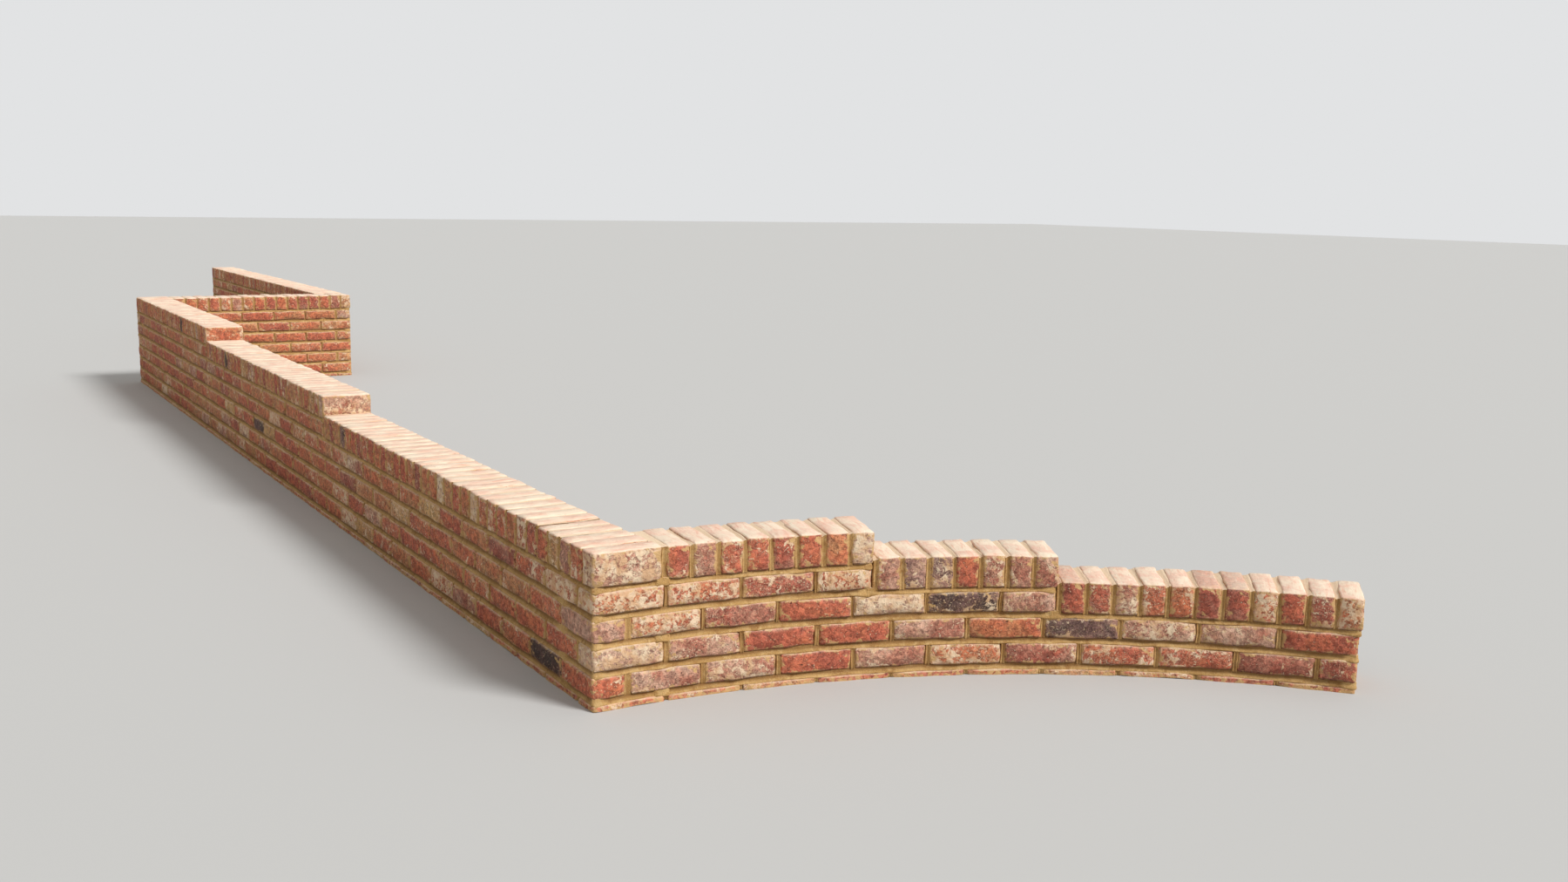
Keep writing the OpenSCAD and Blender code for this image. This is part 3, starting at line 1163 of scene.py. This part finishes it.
# The curved wall's courses: whole bricks set as short chords of the curve, so that the joints open a
# little at the back. Each of its two steps is one course down, and the last brick before it is cut.
# The kinds of the bricks in its hollow face were noted, by course and number.
NOTED_BRICKS = {
    1: {
        0: "mottled mauve", 1: "mottled mauve", 2: "red", 3: "mauve", 4: "creamy", 5: "maroon",
        6: "mottled red", 7: "mottled red", 8: "maroon", 9: "deep red",
    },
    2: {
        0: "pink", 1: "mottled mauve", 2: "red", 3: "red", 4: "mottled mauve", 5: "orange",
        6: "purple", 7: "pink", 9: "red",
    },
    3: {0: "creamy", 1: "maroon", 2: "red", 3: "white", 4: "burnt", 5: "mauve"},
    4: {0: "creamy", 1: "creamy", 2: "deep red", 3: "creamy"},
}
pack_in_use = PALER_PACK
for number in range(1, CORNER_COURSES + 1):
    odd = is_odd(number)
    beds = [(WALL_THICK if odd else 0, curved_stop(number), None, (not odd, True))]
    lay_course("curved", number, beds, NOTED_BRICKS[number])


# The return's courses at the far end: the same bricks and mortar, in six courses like the bay that it
# leaves. Its bricks run out to the corners in even courses, where those of the long wall stop short.
pack_in_use = REDDER_PACK
for number in range(1, TOP_COURSES + 1):
    odd = is_odd(number)
    start = HALF_WALL if odd else -HALF_WALL
    stop = RETURN_END if odd else RETURN_END - WALL_THICK
    lay_course("return", number, [(start, stop, return_run, (not odd, odd))])


# The back wall's courses: the same bricks again, lapped into the return at their corner. The plain end
# is closed in odd courses by a brick laid through the wall, and in even ones its two skins show.
for number in range(1, TOP_COURSES + 1):
    odd = is_odd(number)
    start = LONG_END if odd else LONG_END - WALL_THICK
    lay_course("back", number, [(start, BACK_END, back_run, (not odd, True))])


# The long wall's coping: bricks stood on edge across the wall, so that a long side faces up and an end
# shows in each face. Their tops are painted a creamy pink, a painted sheen of sky light. The joints are
# raked in the faces and nearly flush on top, but each on the curve falls away from one brick, which
# throws a thin shadow.
COPING_CHIP = 0.0034
COPING_ARRIS = 0.0068
COPING_CUTS = (0.35, 0.68)
FLUSH_TOP = (0.0048, 0.0046, 0.0050, 0.0054, 0.0050, 0.0046, 0.0048)
RAKED_TOP = (0.0110, 0.0106, 0.0096, 0.0086, 0.0072, 0.0056, 0.0060)
coping_brick = fired_clay("Coping brick", 0.95)
coping_bricks = model_brick(
    "coping",
    (BRICK_HIGH, BRICK_LONG, BRICK_WIDE),
    rounded=every_edge,
    cuts=([0], cuts_inward, [BRICK_WIDE * share for share in COPING_CUTS]),
    lies=ON_EDGE,
    copies=8,
    chip=COPING_CHIP,
    arris=COPING_ARRIS,
)
coping_joint = model_upright_joint("coping_joint", WALL_THICK, BRICK_WIDE, FLUSH_TOP)
curved_coping_joint = model_upright_joint("curved_coping_joint", WALL_THICK, BRICK_WIDE, RAKED_TOP)
back_gap = ROUND_SHARE * COURSE_PITCH - BRICK_HIGH
for point in curved_coping_joint.data.vertices:
    point.co.x *= 1 + (back_gap / MORTAR_JOINT - 1) * point.co.y / WALL_THICK
wedge_joint = model_upright_joint("wedge_joint", WALL_THICK, BRICK_WIDE, FLUSH_TOP)
for point in wedge_joint.data.vertices:
    if point.co.x < -TOUCHING:
        point.co.x -= point.co.y * math.tan(BRICK_LONG / CURVE_RADIUS)
COPING_LENGTH = (BRICK_LONG - 2 * FACE_SET_BACK) / BRICK_LONG
COPING_SET_DOWN = 0.0032
BROADER = 0.0042
# How much of the curve's slope at the corner each of the first coping bricks takes up
CORNER_SHARES = (1, 0.45, 0.15)
COPING_TURN, COPING_SHIFT = 0.6, 0.0009
COPING_WIDTHS = (0.97, 1.01)
COPING_HEIGHTS = (0.972, 1.0)


def lay_coping(name, level, beds, face, row, chosen=None, corner=False, wedge_start=False):
    """Lays one bay's coping. Its row says if a joint comes before the first brick and after the last."""
    start, stop, count, edges = row
    laid, filled = [], []
    bottom = course_bottom(level)
    for begin, end, run, free in beds:
        spread_bed(begin, end, bottom, run, filled, free)
    foot = bottom + MORTAR_JOINT - COPING_SET_DOWN
    joint = (stop - start - count * BRICK_HIGH) / (count - 1 + edges[0] + edges[1])
    patterns = [curved_coping_joint if face is hollow_face else coping_joint] * (count + 1)
    if wedge_start:
        patterns[0] = wedge_joint
    reached = start
    for number in range(count + 1):
        slope = Matrix.Identity(4)
        if corner and number < len(CORNER_SHARES):
            slope[1][0] = -CORNER_SLOPE * CORNER_SHARES[number]
            slope[1][3] = slope[1][0] * HALF_WALL
        if (number > 0 or edges[0]) and (number < count or edges[1]):
            point, outward = face(reached + joint / 2)
            plate = copy_of(patterns[number], "coping_joint")
            seat = facing(point + outward * FACE_SET_BACK, outward, foot)
            plate_wide = joint if wedge_start and number == 0 else joint - BROADER
            plate.data.transform(slope @ seat @ Matrix.Diagonal((plate_wide / MORTAR_JOINT, 1, 1, 1)))
            filled.append(plate)
            reached += joint
        if number == count:
            break
        aside = BROADER / 2 if number == 0 and not edges[0] else 0
        aside = -BROADER / 2 if number == count - 1 and not edges[1] else aside
        point, outward = face(reached + BRICK_HIGH / 2 + aside, BRICK_HIGH)
        seat = facing(point, outward, foot)
        if mason.random() < 0.5:
            far_end = Matrix.Translation((0, BRICK_LONG * COPING_LENGTH, 0))
            seat = seat @ far_end @ Matrix.Rotation(math.pi, 4, "Z")
        wide = mason.uniform(*COPING_WIDTHS) + BROADER / BRICK_HIGH
        size = (wide, COPING_LENGTH, mason.uniform(*COPING_HEIGHTS))
        pattern = mason.choice(coping_bricks)
        kind = (chosen or {}).get(number)
        set_brick(pattern, slope @ seat @ jog(COPING_TURN, COPING_SHIFT), laid, kind, size)
        reached += BRICK_HIGH
    finish_course(name, laid, filled, coping_brick)


CORNER_LEVEL, TOP_LEVEL = CORNER_COURSES + 1, TOP_COURSES + 1
# Name, start, stop, bricks, joints before the first brick and after the last, level and first brick
LONG_BAYS = (
    ("long_near_coping", -HALF_WALL, STEP_ONE, 34, (0, 1), CORNER_LEVEL, "pink"),
    ("long_middle_coping", STEP_ONE, STEP_TWO, 31, (0, 1), CORNER_LEVEL + 1, "mottled mauve"),
    ("long_far_coping", STEP_TWO, LONG_END, 31, (0, 0), TOP_LEVEL, "mottled red"),
)
for name, start, stop, count, edges, level, kind in LONG_BAYS:
    near = level == CORNER_LEVEL
    beds = [(0, WALL_THICK, None, (True, False))] if near else []
    beds.append((HALF_WALL if near else start, stop, long_run, (not near, level == TOP_LEVEL)))
    first = start + (0.5 * SHOWN if near else 0)
    lay_coping(name, level, beds, long_outer, (first, stop, count, edges), {0: kind}, corner=near)


# The curved wall's coping: the same bricks on edge, fanned out round the curve in three bays, each a
# course lower than the last. The kinds of the bricks in the hollow face were noted.
NOTED_COPING = {
    "curved_high_coping": {
        0: "red", 1: "mauve", 2: "red", 3: "red", 4: "maroon", 5: "red", 6: "orange", 7: "white",
    },
    "curved_middle_coping": {
        0: "mauve", 1: "purple", 2: "purple", 3: "red", 4: "mottled mauve", 5: "mottled mauve",
        6: "mottled mauve",
    },
    "curved_low_coping": {
        0: "bare red", 1: "deep red", 2: "mottled mauve", 3: "mottled red", 4: "red", 5: "bare red",
        6: "bare red", 7: "creamy", 8: "red", 9: "maroon", 10: "creamy",
    },
}
for bay, (name, noted) in enumerate(NOTED_COPING.items()):
    start, stop = curved_bays[bay], curved_bays[bay + 1]
    row = (start, stop, (HIGH_BAY, MIDDLE_BAY, LOW_BAY)[bay], (1, 0))
    beds = [(start, stop, None, (False, True))]
    lay_coping(name, CORNER_LEVEL - bay, beds, hollow_face, row, noted, wedge_start=bay == 0)


# The coping of the return, which runs out over its outer corner, and that of the back wall behind it:
# the same bricks on edge, all at the height of the long wall's far bay.
RETURN_BRICKS = 16
BACK_BRICKS = 48
beds = [(HALF_WALL, RETURN_END, return_run, (False, True))]
row = (HALF_WALL, RETURN_END, RETURN_BRICKS, (1, 0))
lay_coping("return_coping", TOP_LEVEL, beds, return_inner, row)
beds = [(LONG_END, BACK_END, back_run, (False, True))]
row = (LONG_END, BACK_END, BACK_BRICKS, (1, 0))
lay_coping("back_coping", TOP_LEVEL, beds, back_inner, row)


# The shapes that were only copied from are cleared away
spares = stretchers + corner_stretchers + half_bricks + through_headers + coping_bricks
spares += base_stretchers + base_corners + [perpend, coping_joint, curved_coping_joint, wedge_joint]
for spare in spares:
    bpy.data.objects.remove(spare)
